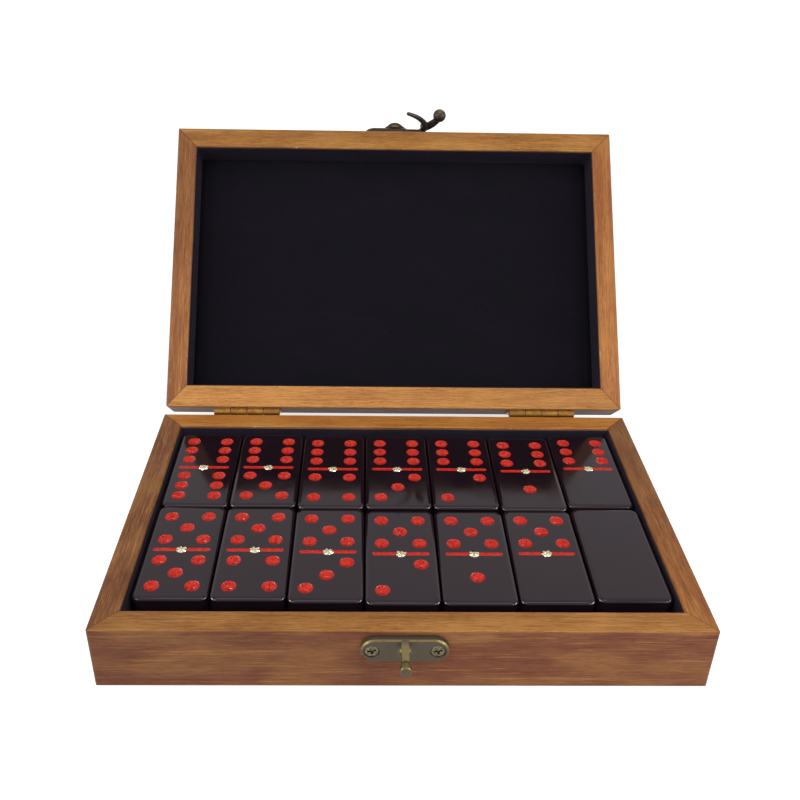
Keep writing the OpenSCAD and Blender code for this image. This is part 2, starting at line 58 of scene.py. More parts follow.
CAMERA_AT = Vector((-13.5, -275.1, 230.7)) * MM
PITCH, YAW, ROLL = (math.radians(a) for a in (29.91, 1.38, 1.15))
PHOTO_SIDE = 800
FOCAL_PIXELS = 920.2
MIDDLE_PIXEL = (382.9, 393.1)
SENSOR = 36


def make_camera():
    """A camera that looks along +Y, pitched down, yawed right and rolled, as the photograph's."""
    data = bpy.data.cameras.new("camera")
    data.sensor_width = SENSOR
    data.lens = FOCAL_PIXELS * SENSOR / PHOTO_SIDE
    data.shift_x = (PHOTO_SIDE / 2 - MIDDLE_PIXEL[0]) / PHOTO_SIDE
    data.shift_y = (MIDDLE_PIXEL[1] - PHOTO_SIDE / 2) / PHOTO_SIDE
    data.clip_start = 0.01
    forward = Vector((
        math.sin(YAW) * math.cos(PITCH), math.cos(YAW) * math.cos(PITCH), -math.sin(PITCH)
    ))
    level = Vector((math.cos(YAW), -math.sin(YAW), 0))
    upward = level.cross(forward)
    right = math.cos(ROLL) * level + math.sin(ROLL) * upward
    up = math.cos(ROLL) * upward - math.sin(ROLL) * level
    camera = bpy.data.objects.new("camera", data)
    turn = Matrix((right, up, -forward)).transposed().to_4x4()
    camera.matrix_world = Matrix.Translation(CAMERA_AT) @ turn
    bpy.context.scene.collection.objects.link(camera)
    bpy.context.scene.camera = camera


make_camera()

# ---------------------------------------------------------------- the box's own sizes

BASE_LOW = Vector((
    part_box("base_left_rail")[0].x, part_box("base_front_rail")[0].y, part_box("base_left_rail")[0].z
))
BASE_HIGH = Vector((-BASE_LOW.x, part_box("base_back_rail")[1].y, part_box("base_left_rail")[1].z))
CAVITY_LOW, CAVITY_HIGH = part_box("base_floor_lining")
SIDE_RAIL = CAVITY_LOW.x - BASE_LOW.x
FRONT_RAIL = CAVITY_LOW.y - BASE_LOW.y
BACK_RAIL = BASE_HIGH.y - CAVITY_HIGH.y
LINING_T = CAVITY_HIGH.z - CAVITY_LOW.z

LID_JOINT = next(j for j in frame["joints"] if j["name"] == "lid_hinge")
HINGE_AT = Vector(LID_JOINT["pos_m"])
LID_TURN = math.radians(-LID_JOINT["range_deg"][0])
OPEN_LID = (
    Matrix.Translation(HINGE_AT) @ Matrix.Rotation(-LID_TURN, 4, "X") @ Matrix.Translation(-HINGE_AT)
)
SHUT_LID = OPEN_LID.inverted()


def shut_box(node):
    """A lid node's lowest and highest corners with the lid shut."""
    points = [SHUT_LID @ v.co for v in NODES[node].data.vertices]
    return tuple(Vector(pick(p[k] for p in points) for k in range(3)) for pick in (min, max))


# ---------------------------------------------------------------- shader helpers


class Nodes:
    """A node tree, with short calls for the nodes that are used here."""

    def __init__(self, tree):
        self.tree = tree

    def plug(self, value, socket):
        if isinstance(value, bpy.types.NodeSocket):
            self.tree.links.new(value, socket)
        else:
            socket.default_value = value

    def add(self, kind, inputs=(), **settings):
        node = self.tree.nodes.new(kind)
        for key, value in settings.items():
            setattr(node, key, value)
        for key, value in dict(inputs).items():
            self.plug(value, node.inputs[key])
        return node

    def math(self, operation, *values, clamp=False):
        node = self.add("ShaderNodeMath", operation=operation, use_clamp=clamp)
        for socket, value in zip(node.inputs, values):
            self.plug(value, socket)
        return node.outputs[0]

    def mix(self, factor, a, b, blend="MIX"):
        node = self.add("ShaderNodeMix", data_type="RGBA", blend_type=blend)
        for socket, value in zip((node.inputs[0], node.inputs[6], node.inputs[7]), (factor, a, b)):
            self.plug(value, socket)
        return node.outputs[2]

    def span(self, value, low, high, to_low=0.0, to_high=1.0):
        """value's way from low to high, eased, as a number from to_low to to_high."""
        node = self.add("ShaderNodeMapRange", {
            "Value": value, "From Min": low, "From Max": high, "To Min": to_low, "To Max": to_high,
        }, interpolation_type="SMOOTHSTEP")
        return node.outputs["Result"]

    def noise(self, place, scale, detail=2.0, roughness=0.5, distortion=0.0):
        node = self.add("ShaderNodeTexNoise", {
            "Vector": place, "Scale": scale, "Detail": detail,
            "Roughness": roughness, "Distortion": distortion,
        })
        return node.outputs["Fac"]

    def move(self, place, location=(0, 0, 0), rotation=(0, 0, 0), scale=(1, 1, 1), kind="POINT"):
        node = self.add("ShaderNodeMapping", {
            "Vector": place, "Rotation": rotation, "Scale": scale,
        }, vector_type=kind)
        if kind == "POINT":
            self.plug(location, node.inputs["Location"])
        return node.outputs["Vector"]

    def bump(self, height, distance, strength):
        node = self.add("ShaderNodeBump", {
            "Height": height, "Distance": distance, "Strength": strength,
        })
        return node.outputs["Normal"]

    def place(self):
        """A point of the piece at rest, in metres."""
        return self.add("ShaderNodeTexCoord").outputs["Object"]

    def facing(self):
        """The surface's direction in the piece's own frame."""
        return self.add("ShaderNodeTexCoord").outputs["Normal"]

    def parts(self, vector):
        return self.add("ShaderNodeSeparateXYZ", {"Vector": vector}).outputs[:3]


class Shader(Nodes):
    """A material and its node tree."""

    def __init__(self, name):
        self.material = bpy.data.materials.new(name)
        self.material.use_nodes = True
        super().__init__(self.material.node_tree)
        self.surface = self.tree.nodes["Principled BSDF"]

    def set(self, **inputs):
        """Sets the shader's own sockets: base_color is Base Color, and so on."""
        for key, value in inputs.items():
            socket = key.replace("_", " ").title().replace("Ior", "IOR")
            self.plug(value, self.surface.inputs[socket])


def colour(red, green, blue):
    """A colour of the photograph, from 0 to 255, as the linear one that a shader takes."""
    def linear(v):
        v /= 255
        return v / 12.92 if v <= 0.04045 else ((v + 0.055) / 1.055) ** 2.4
    return (linear(red), linear(green), linear(blue), 1)


# ---------------------------------------------------------------- materials


def shut_place(s, place, in_lid, kind="POINT"):
    """A point or a direction in the shut box's frame, which turns the open lid's back."""
    if not in_lid:
        return place
    shift = SHUT_LID.to_translation()
    return s.move(place, location=shift, rotation=(LID_TURN, 0, 0), kind=kind)


def wood(name, in_lid, along_y, rim, side, seed, streaks, levels):
    """Oiled hardwood: soft long figure, streaks, fine fibres and short dark pores along the rail,
    a thin dark line at the rails' mitres, and one colour on the rim and another on the outer faces,
    mostly darker as painted shade.
    Levels are how bright the rail's low and high ends are."""
    s = Shader(name)
    at = shut_place(s, s.place(), in_lid)
    x, y, z = s.parts(at)
    nz = s.parts(shut_place(s, s.facing(), in_lid, "VECTOR"))[2]
    along, across = (y, x) if along_y else (x, y)
    grain = s.add("ShaderNodeCombineXYZ", {"X": along, "Y": across, "Z": z}).outputs[0]

    def stretched(length, width, shift):
        return s.move(grain, location=(seed * 3.7 + shift, seed, shift), scale=(
            1 / (length * MM), 1 / (width * MM), 1 / (width * MM)
        ))

    figure = s.noise(stretched(120, 5.5, 0), 1, detail=4, roughness=0.6, distortion=0.5)
    bands = s.noise(stretched(48, 1.3, 5), 1, detail=3, roughness=0.6, distortion=0.3)
    streak = s.noise(stretched(30, 0.8, 37), 1, detail=3, roughness=0.7)
    fibres = s.noise(stretched(7, 0.36, 11), 1, detail=3, roughness=0.65)
    pores = s.noise(stretched(2.6, 0.24, 17), 1, detail=2, roughness=0.5)
    pores = s.span(pores, 0.57, 0.7)
    patches = s.noise(stretched(30, 12, 23), 1, detail=2)

    # Painted shade: faces that point sideways take the side colour, mostly darker than the rim's.
    upright = s.span(s.math("ABSOLUTE", nz), 0.45, 0.9)
    light = s.mix(upright, side, rim)
    dark = s.mix(0.8, light, colour(150, 92, 60), "MULTIPLY")
    tone = s.mix(s.span(figure, 0.36, 0.66, 0, streaks), light, dark)
    tone = s.mix(s.span(bands, 0.52, 0.7, 0, 0.35 * streaks + 0.12), tone, dark)
    tone = s.mix(s.span(streak, 0.54, 0.64, 0, 0.4), tone, dark)
    tone = s.mix(s.span(streak, 0.44, 0.34, 0, 0.22), tone, colour(226, 160, 78))
    tone = s.mix(s.span(patches, 0.4, 0.68, 0, 0.3), tone, s.mix(0.5, light, colour(236, 176, 96)))
    tone = s.mix(s.math("MULTIPLY", s.span(fibres, 0.42, 0.72), s.span(upright, 0, 1, 0.36, 0.55)),
                 tone, dark)
    tone = s.mix(s.math("MULTIPLY", s.span(fibres, 0.46, 0.28), s.span(upright, 0, 1, 0.09, 0.2)),
                 tone, colour(232, 178, 104))
    tone = s.mix(s.math("MULTIPLY", pores, s.span(patches, 0.3, 0.7, 0.62, 0.3)), tone,
                 colour(62, 34, 24))
    # The rims' rounded edges are rubbed pale here and there.
    edge = s.math("MULTIPLY", s.span(s.math("ABSOLUTE", nz), 0.25, 0.6),
                  s.span(s.math("ABSOLUTE", nz), 0.98, 0.8))
    chips = s.span(s.noise(stretched(3, 1.6, 29), 1, detail=3, roughness=0.7), 0.64, 0.72)
    tone = s.mix(s.math("MULTIPLY", s.math("MULTIPLY", edge, chips), 0.75), tone,
                 colour(232, 200, 156))
    # The mitres: how far a point lies from the planes where two rails meet.
    side_way = s.math("DIVIDE", s.math("SUBTRACT", BASE_HIGH.x, s.math("ABSOLUTE", x)), SIDE_RAIL)
    front_way = s.math("DIVIDE", s.math("SUBTRACT", y, BASE_LOW.y), FRONT_RAIL)
    back_way = s.math("DIVIDE", s.math("SUBTRACT", BASE_HIGH.y, y), BACK_RAIL)
    off = s.math("ABSOLUTE", s.math("SUBTRACT", side_way, s.math("MINIMUM", front_way, back_way)))
    glue = s.span(off, 0.045, 0.01, 0, 0.62 if "rail" in name else 0)
    tone = s.mix(glue, tone, colour(74, 42, 24))
    reach = BASE_HIGH.y if along_y else BASE_HIGH.x
    tone = s.mix(1.0, tone, s.span(along, -reach, reach, *levels), "MULTIPLY")

    relief = s.math("SUBTRACT", s.math("MULTIPLY", fibres, 0.4), pores)
    relief = s.math("SUBTRACT", relief, glue)
    s.set(
        base_color=tone,
        roughness=s.span(fibres, 0.3, 0.7, 0.45, 0.62),
        normal=s.bump(relief, 0.00005, 0.7),
        specular_ior_level=0.22,
    )
    return s.material


def velvet(name, deep, pale):
    """Short black-violet pile: a few brushed marks, a faint sheen and a little lint."""
    s = Shader(name)
    at = s.place()
    brushed = s.noise(s.move(at, scale=(30, 90, 60)), 1, detail=4, roughness=0.6, distortion=0.7)
    pile = s.noise(at, 2600, detail=2, roughness=0.7)
    lint = s.add("ShaderNodeTexVoronoi", {"Vector": at, "Scale": 95.0, "Randomness": 1.0})
    lint = s.span(lint.outputs["Distance"], 0.022, 0.012)
    tone = s.mix(s.span(brushed, 0.4, 0.75, 0, 0.7), deep, pale)
    tone = s.mix(s.span(pile, 0.35, 0.75, 0, 0.4), tone, colour(12, 10, 14))
    tone = s.mix(s.math("MULTIPLY", lint, 0.2), tone, colour(120, 115, 125))
    s.set(
        base_color=tone,
        roughness=0.95,
        specular_ior_level=0.06,
        sheen_weight=0.05,
        sheen_roughness=0.5,
        sheen_tint=colour(170, 160, 190),
        normal=s.bump(pile, 0.00012, 0.6),
    )
    return s.material


def tile_plastic(name):
    """Polished black plastic with faint wiping marks."""
    s = Shader(name)
    at = s.place()
    haze = s.noise(at, 55, detail=3, roughness=0.6, distortion=0.6)
    wipes = s.noise(s.move(at, scale=(260, 2600, 260)), 1, detail=3, roughness=0.7)
    s.set(
        base_color=s.mix(haze, colour(24, 14, 20), colour(34, 22, 28)),
        roughness=s.math("ADD", s.span(haze, 0.35, 0.7, 0.07, 0.13),
                         s.span(wipes, 0.6, 0.8, 0, 0.03)),
        specular_ior_level=0.32,
        specular_tint=(1, 0.86, 0.94, 1),
        normal=s.bump(s.noise(at, 140, detail=2), 0.00002, 0.35),
    )
    return s.material


def pip_paint(name):
    """Glossy red enamel in the pips and the bar."""
    s = Shader(name)
    at = s.place()
    thick = s.noise(at, 900, detail=3, roughness=0.6)
    s.set(
        base_color=s.mix(s.span(thick, 0.3, 0.7), colour(178, 23, 11), colour(217, 47, 23)),
        roughness=s.span(thick, 0.3, 0.7, 0.16, 0.28),
        specular_ior_level=0.25,
        normal=s.bump(thick, 0.00004, 0.5),
    )
    return s.material


def spinner_metal(name):
    """Bright plated rivet, a little yellow in places."""
    s = Shader(name)
    at = s.place()
    worn = s.noise(at, 1400, detail=3, roughness=0.6)
    s.set(
        base_color=s.mix(s.span(worn, 0.35, 0.65), colour(236, 230, 212), colour(190, 168, 120)),
        metallic=1.0,
        roughness=s.span(worn, 0.3, 0.7, 0.08, 0.2),
        normal=s.bump(worn, 0.00004, 0.4),
    )
    return s.material


def hinge_brass(name):
    """Lacquered yellow brass with brown tarnish in blotches and fine brushed streaks, whose pale gold
    is partly a painted highlight.
    """
    s = Shader(name)
    at = s.place()
    tarnish = s.noise(at, 260, detail=3, roughness=0.55, distortion=0.2)
    brushing_and_highlight = s.noise(s.move(at, scale=(300, 5200, 5200)), 1, detail=2, roughness=0.6)
    tone = s.mix(s.span(tarnish, 0.38, 0.62), colour(142, 100, 44), colour(112, 78, 38))
    # Partly painted highlight: the fine brushed streaks are painted pale gold.
    tone = s.mix(s.span(brushing_and_highlight, 0.58, 0.8, 0, 0.4), tone, colour(224, 196, 132))
    s.set(
        base_color=tone,
        metallic=1.0,
        roughness=s.span(tarnish, 0.3, 0.7, 0.26, 0.46),
        normal=s.bump(brushing_and_highlight, 0.00002, 0.5),
    )
    return s.material


def antique_brass(name, in_lid, dark, bright, highlight_way=None, screws=None, deep=None):
    """Cast brass, darkened, with a painted highlight on the side that faces the given way, or else on
    its bevels, and a few bright worn spots. What stands further than deep in front of the wood gets
    the painted highlight on its upper side instead. Round the screws, given as a node, the
    countersinks stay dark."""
    s = Shader(name)
    at = s.place()
    shut = shut_place(s, at, in_lid)
    facing = shut_place(s, s.facing(), in_lid, "VECTOR")
    cast = s.noise(at, 520, detail=4, roughness=0.65, distortion=0.3)
    fine = s.noise(at, 2400, detail=3, roughness=0.7)
    # Painted highlight: the faces that point the given way, or else the bevels, are painted bright.
    if highlight_way:
        worn = s.add("ShaderNodeVectorMath", {0: facing, 1: highlight_way}, operation="DOT_PRODUCT")
        worn = s.span(worn.outputs["Value"], 0.74, 0.9)
    else:
        out = s.math("ABSOLUTE", s.parts(facing)[1])
        worn = s.math("MULTIPLY", s.span(out, 0.5, 0.66), s.span(out, 0.92, 0.8))
    # Painted highlight: what stands out from the wood is painted bright on its upper side.
    if deep:
        stem = s.math("SUBTRACT", BASE_LOW.y, s.parts(shut)[1])
        worn = s.math("MULTIPLY", worn, s.span(stem, deep, deep + 0.6 * MM, 1, 0.2))
        upper = s.math("MULTIPLY", s.span(stem, deep + 0.6 * MM, deep + 2 * MM),
                       s.span(s.parts(facing)[2], 0, 0.6, 0.1, 0.8))
        worn = s.math("MAXIMUM", worn, upper)
    # The painted highlight, with a few bright worn spots of the cast here and there.
    highlight_and_wear = s.math("ADD", s.math("MULTIPLY", worn, s.span(cast, 0.3, 0.55, 0.35, 0.95)),
                    s.span(cast, 0.58, 0.76, 0, 0.25), clamp=True)
    tone = s.mix(highlight_and_wear, dark, bright)
    tone = s.mix(s.span(fine, 0.55, 0.8, 0, 0.5), tone, colour(38, 30, 22))
    if screws:
        low, high = shut_box(screws) if in_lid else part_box(screws)
        head = (high.z - low.z) / 2
        x, _, z = s.parts(shut)
        across = s.math("SUBTRACT", s.math("ABSOLUTE", x), high.x - head)
        up = s.math("SUBTRACT", z, (low.z + high.z) / 2)
        off = s.math("SQRT", s.math("ADD", s.math("POWER", across, 2), s.math("POWER", up, 2)))
        tone = s.mix(s.span(off, head * 1.22, head * 1.12), tone, colour(34, 26, 22))
    s.set(
        base_color=tone,
        metallic=0.9,
        roughness=s.math("SUBTRACT", s.span(fine, 0.3, 0.7, 0.42, 0.6),
                         s.math("MULTIPLY", highlight_and_wear, 0.12)),
        normal=s.bump(s.math("ADD", cast, s.math("MULTIPLY", fine, 0.4)), 0.0001, 0.5),
    )
    return s.material


def steel_screw(name):
    """Dark plated screws, unevenly worn."""
    s = Shader(name)
    at = s.place()
    worn = s.noise(at, 1500, detail=3, roughness=0.65)
    s.set(
        base_color=s.mix(s.span(worn, 0.4, 0.65), colour(82, 74, 60), colour(132, 122, 96)),
        metallic=1.0,
        roughness=s.span(worn, 0.3, 0.7, 0.3, 0.5),
        normal=s.bump(worn, 0.00005, 0.5),
    )
    return s.material


BLACK = tile_plastic("tile_black")
RED = pip_paint("pip_red")
SPINNER = spinner_metal("spinner_metal")
VELVET = velvet("velvet", colour(19, 17, 24), colour(24, 20, 29))
# Painted light: the wall strips get a lighter copy of the velvet, as they lie in shade.
VELVET_WALLS_PAINTED_LIGHT = velvet("velvet_walls_painted_light", colour(36, 31, 43), colour(45, 39, 54))

# Each wooden piece's own grain: in the lid or not, along Y or not, rim and side colours, seed,
# streaks and the levels of its ends. The side colours are mostly darker than the rims' as painted
# shade, and the lid's back rail's side is darkened further as a painted shadow under the open lid.
WOODEN = {
    "base_front_rail": (False, False, colour(169, 113, 52), colour(120, 67, 40), 1, 0.3, (0.86, 1.12)),
    "base_back_rail": (False, False, colour(196, 128, 50), colour(142, 92, 60), 2, 0.4, (1, 0.95)),
    "base_left_rail": (False, True, colour(128, 76, 39), colour(128, 80, 52), 3, 0.7, (1, 0.94)),
    "base_right_rail": (False, True, colour(160, 99, 46), colour(140, 90, 58), 4, 0.6, (1.1, 0.55)),
    "lid_front_rail": (True, False, colour(176, 119, 47), colour(140, 92, 60), 5, 0.45, (0.92, 1)),
    # Painted shadow: this rail's outer face lies in shade under the open lid.
    "lid_back_rail": (True, False, colour(208, 143, 70), colour(106, 76, 61), 6, 0.35, (1.02, 0.94)),
    "lid_left_rail": (True, True, colour(161, 99, 48), colour(140, 92, 60), 7, 0.7, (0.72, 1.12)),
    "lid_right_rail": (True, True, colour(186, 117, 55), colour(140, 92, 60), 8, 0.6, (0.95, 1)),
    "base_floor_panel": (False, False, colour(168, 122, 80), colour(150, 104, 70), 9, 0.4, (1, 1)),
    "lid_top_panel": (True, False, colour(168, 114, 66), colour(150, 104, 70), 10, 0.5, (1, 1)),
}


def dress(node, material):
    """Gives a CAD node one material in each of its slots."""
    slots = NODES[node].data.materials
    for i in range(len(slots)):
        slots[i] = material


def dress_cad():
    for node, finish in WOODEN.items():
        dress(node, wood(node + "_wood", *finish))
    brass = hinge_brass("hinge_brass")
    for node in NODES:
        if "hinge" in node:
            dress(node, brass)
    plate_t = BASE_LOW.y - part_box("catch_screws")[0].y
    # Painted highlights on the catch's bevels and on the upper side of its peg.
    dress("catch_plate", antique_brass(
        "catch_brass", False, colour(80, 71, 60), colour(112, 98, 56),
        screws="catch_screws", deep=plate_t,
    ))
    cast = (colour(50, 42, 40), colour(104, 92, 46))
    dress("latch_plate", antique_brass("latch_brass", True, *cast, screws="latch_screws"))
    # The rivet and the hook get a painted highlight on the side that faces the given way.
    dress("latch_rivet", antique_brass("rivet_bronze", True, *cast, highlight_way=(0, 0, 1)))
    dress("latch_hook", antique_brass("hook_bronze", True, *cast, highlight_way=(0, -0.54, -0.84)))
    screws = steel_screw("screw_metal")
    dress("catch_screws", screws)
    dress("latch_screws", screws)


# ---------------------------------------------------------------- mesh helpers


def add_piece(name, mesh, body, materials):
    """Links a mesh as a piece that rides on a body."""
    for material in materials:
        mesh.materials.append(material)
    piece = bpy.data.objects.new(name, mesh)
    bpy.context.scene.collection.objects.link(piece)
    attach(piece, body)
    return piece


def even_normals(piece):
    """Keeps big flat faces flat beside rounded edges."""
    piece.data.set_sharp_from_angle(angle=math.radians(35))
    modifier = piece.modifiers.new("even_normals", "WEIGHTED_NORMAL")
    modifier.keep_sharp = True
    modifier.weight = 100


def as_mesh(bm, name, scale=1.0):
    """Turns the faces outward, scales the form and stores it as a mesh."""
    bmesh.ops.recalc_face_normals(bm, faces=bm.faces)
    if scale != 1:
        bmesh.ops.scale(bm, vec=(scale, scale, scale), verts=bm.verts)
    mesh = bpy.data.meshes.new(name)
    bm.to_mesh(mesh)
    bm.free()
    return mesh


def ring_faces(bm, low, high):
    """Joins two rings of as many vertices with quads."""
    n = len(low)
    return [bm.faces.new((low[i], low[(i + 1) % n], high[(i + 1) % n], high[i])) for i in range(n)]


def ring_edges(bm, ring):
    n = len(ring)
    found = []
    for i in range(n):
        pair = (ring[i], ring[(i + 1) % n])
        found.append(bm.edges.get(pair) or bm.edges.new(pair))
    return found


# ---------------------------------------------------------------- tiles

TILE_CORNER, EDGE_IN, EDGE_DOWN = 2.8, 1.7, 1.15
PIP_R, PIP_DEPTH = 2.55, 0.9
PIP_LIP_IN, PIP_LIP_DOWN = 0.1, 0.12
RIDGE_PLACE, RIDGE_HIGH, RIDGE_LOW, RIDGE_SPREAD = 0.52, 0.34, 0.72, 0.07
PIP_COLUMN, PIP_ROW, HALF_Y = 6.7, 6.5, 12.1
BAR_L, BAR_W = 20, 1.7
BAR_FOOT_IN, BAR_FOOT_DOWN = 0.16, 0.22
BAR_FLOOR_IN, BAR_FLOOR_DOWN = 0.5, 0.32
SPINNER_R, SPINNER_H = 1.85, 0.6
SPINNER_LOBES, SPINNER_LEAST = 6, 0.93
SPINNER_HOLLOW_DOWN, SPINNER_TIP_DOWN = 0.12, 0.16
# For each ring of the spinner: how far its lobes and its hollows reach, in radii, and its height.
SPINNER_LEVELS = ((1.06, 0.96, 0.03), (1.02, 0.84, 0.22), (0.74, 0.52, 0.44), (0.34, 0.3, 0.56))
PIP_SIDES = 24


def rounded_outline(wide, long, corner, steps=7):
    """Points round a rectangle with round corners."""
    points = []
    for turn, (sx, sy) in enumerate(((1, 1), (-1, 1), (-1, -1), (1, -1))):
        for k in range(steps + 1):
            angle = math.pi / 2 * (turn + k / steps)
            points.append((
                sx * (wide / 2 - corner) + corner * math.cos(angle),
                sy * (long / 2 - corner) + corner * math.sin(angle),
            ))
    return points


def circle(radius, sides, middle=(0, 0), start=0.0):
    return [
        (middle[0] + radius * math.cos(start + 2 * math.pi * k / sides),
         middle[1] + radius * math.sin(start + 2 * math.pi * k / sides))
        for k in range(sides)
    ]


def stadium(length, width, steps=8):
    """Points round a bar with round ends."""
    points = []
    for side in (1, -1):
        for k in range(steps + 1):
            angle = math.pi * (k / steps - 0.5) + (0 if side > 0 else math.pi)
            points.append((
                side * (length - width) / 2 + width / 2 * math.cos(angle),
                width / 2 * math.sin(angle),
            ))
    return points


def add_ring(bm, points, z):
    return [bm.verts.new((x, y, z)) for x, y in points]


def pip_places(value):
    """Columns and rows of a half's pips. The diagonal runs from the upper right."""
    places = [(0, 0)] if value % 2 else []
    if value > 1:
        places += [(1, 1), (-1, -1)]
    if value > 3:
        places += [(-1, 1), (1, -1)]
    if value == 6:
        places += [(-1, 0), (1, 0)]
    return places


def add_pip(bm, middle, face_z, rng):
    """A drilled pip: a clean rim and a cone of radial ridges. Returns its rim and its faces."""
    rim = add_ring(bm, circle(PIP_R, PIP_SIDES, middle), face_z)
    lip = add_ring(bm, circle(PIP_R - PIP_LIP_IN, PIP_SIDES, middle), face_z - PIP_LIP_DOWN)
    ridge = []
    for k, (x, y) in enumerate(circle(PIP_R * RIDGE_PLACE, PIP_SIDES, middle)):
        depth = (RIDGE_HIGH if k % 2 else RIDGE_LOW) + rng.uniform(-RIDGE_SPREAD, RIDGE_SPREAD)
        ridge.append(bm.verts.new((x, y, face_z - depth)))
    tip = bm.verts.new((middle[0], middle[1], face_z - PIP_DEPTH))
    faces = ring_faces(bm, lip, rim) + ring_faces(bm, ridge, lip)
    for k in range(PIP_SIDES):
        faces.append(bm.faces.new((tip, ridge[k], ridge[(k + 1) % PIP_SIDES])))
    return rim, faces


def add_bar(bm, face_z):
    """The bar's groove with its painted floor, slightly dished."""
    rim = add_ring(bm, stadium(BAR_L, BAR_W), face_z)
    foot_outline = stadium(BAR_L - BAR_FOOT_IN, BAR_W - BAR_FOOT_IN)
    foot = add_ring(bm, foot_outline, face_z - BAR_FOOT_DOWN)
    floor_outline = stadium(BAR_L - BAR_FLOOR_IN, BAR_W - BAR_FLOOR_IN)
    floor = add_ring(bm, floor_outline, face_z - BAR_FLOOR_DOWN)
    faces = ring_faces(bm, foot, rim) + ring_faces(bm, floor, foot)
    faces.append(bm.faces.new(floor))
    return rim, faces


def tile_body(name, size, values, rng):
    """A tile's mesh with its underside at Z = 0, in millimetres until the end."""
    wide, long, thick = size
    bm = bmesh.new()
    arc = [math.radians(a) for a in range(0, 91, 10)]
    profile = [(EDGE_IN * (1 - math.sin(a)), EDGE_DOWN * (1 - math.cos(a))) for a in arc]
    profile += [(d, thick - z) for d, z in reversed(profile)]
    rings = [
        add_ring(bm, rounded_outline(wide - 2 * d, long - 2 * d, TILE_CORNER - d), z)
        for d, z in profile
    ]
    for low, high in zip(rings, rings[1:]):
        ring_faces(bm, low, high)
    bm.faces.new(list(reversed(rings[0])))
    edges = ring_edges(bm, rings[-1])
    painted = []
    if values != (0, 0):
        for half, value in zip((1, -1), values):
            for column, row in pip_places(value):
                middle = (column * PIP_COLUMN, half * HALF_Y + row * PIP_ROW)
                rim, faces = add_pip(bm, middle, thick, rng)
                edges += ring_edges(bm, rim)
                painted += faces
    rim, faces = add_bar(bm, thick)
    edges += ring_edges(bm, rim)
    painted += faces
    bmesh.ops.triangle_fill(bm, use_beauty=True, edges=edges, normal=(0, 0, 1))
    for face in bm.faces:
        face.smooth = True
    for face in painted:
        face.material_index = 1
        face.smooth = False
    return as_mesh(bm, name, MM)


def spinner_body(name, rng):
    """A cut rivet head on the tile's face, at Z = 0 in its own frame: lobes with sharp creases."""
    bm = bmesh.new()
    turn = rng.uniform(0, math.pi)
    rings = []
    for peak, hollow, height in SPINNER_LEVELS:
        ring = []
        for k, (x, y) in enumerate(circle(SPINNER_R, 2 * SPINNER_LOBES, start=turn)):
            reach = (hollow if k % 2 else peak) * rng.uniform(SPINNER_LEAST, 1)
            drop = SPINNER_HOLLOW_DOWN if rings and k % 2 else 0  # the lowest ring is level
            ring.append(bm.verts.new((x * reach, y * reach, height - drop)))
        rings.append(ring)
    for low, high in zip(rings, rings[1:]):
        ring_faces(bm, low, high)
    bm.faces.new(list(reversed(rings[0])))
    tip = bm.verts.new((0, 0, SPINNER_H - SPINNER_TIP_DOWN))
    last = rings[-1]
    for a, b in zip(last, last[1:] + last[:1]):
        bm.faces.new((a, b, tip))
    bmesh.ops.triangulate(bm, faces=bm.faces)
    return as_mesh(bm, name, MM)


def make_tile(node):
    """Replaces a CAD tile by one with faceted pips, a painted bar and a cut spinner."""
    back, front = (int(v) for v in node.split("_")[1:])
    rng = random.Random(back * 10 + front)
    low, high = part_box(node)
    size = ((high.x - low.x) / MM, (high.y - low.y) / MM, (high.z - low.z) / MM - SPINNER_H)
    body = tile_body(node + "_body", size, (back, front), rng)
    spinner = spinner_body(node + "_spinner", rng)
    middle = (low + high) / 2
    if node == "tile_0_0":  # this one lies on its face
        place = Matrix.Translation((middle.x, middle.y, high.z)) @ Matrix.Rotation(math.pi, 4, "Y")
    else:
        place = Matrix.Translation((middle.x, middle.y, low.z))
    body.transform(place)
    spinner.transform(place @ Matrix.Translation((0, 0, size[2] * MM)))
    piece = add_piece(node + "_body", body, node, (BLACK, RED))
    even_normals(piece)
    rivet = add_piece(node + "_spinner", spinner, node, (SPINNER,))
    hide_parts(node)
    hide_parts(node)


# ---------------------------------------------------------------- linings

# In parts of the cloth's thickness: how far it sags, and how thick it is at its border.
CLOTH_SAG, CLOTH_BORDER = 0.16, 0.3
# The strip on the walls: its stations' spacing, and how uneven its free edge and its face are.
STRIP_STEP, STRIP_EDGE, STRIP_WAVE = 0.004, 0.012, 0.06


def ripple(point, seed, size=0.012):
    """A smooth number from -1 to 1 that changes over about size metres."""
    return noise.noise(Vector(point) / size + Vector((seed, seed * 2, 0)))


def flat_lining(name, low, high, seed, face_up):
    """A glued sheet with softly rolled edges and slight unevenness, in the box that it fills."""
    columns, rows = 60, 40
    bm = bmesh.new()
    thick = high.z - low.z
    grid = []
    for j in range(rows + 1):
        line = []
        for i in range(columns + 1):
            x = low.x + (high.x - low.x) * i / columns
            y = low.y + (high.y - low.y) * j / rows
            sag = CLOTH_SAG * thick * (1 + ripple((x, y, 0), seed))
            edge = i in (0, columns) or j in (0, rows)
            z = thick * (CLOTH_BORDER if edge else 1) - (0 if edge else sag)
            line.append(bm.verts.new((x, y, low.z + z if face_up else high.z - z)))
        grid.append(line)
    for j in range(rows):
        for i in range(columns):
            face = bm.faces.new((grid[j][i], grid[j][i + 1], grid[j + 1][i + 1], grid[j + 1][i]))
            face.smooth = True
    border = grid[0] + [r[-1] for r in grid[1:]] + grid[-1][-2::-1] + [r[0] for r in grid[-2:0:-1]]
    back_z = low.z if face_up else high.z
    back = [bm.verts.new((v.co.x, v.co.y, back_z)) for v in border]
    ring_faces(bm, back, border)
    bm.faces.new(back)
    return as_mesh(bm, name)


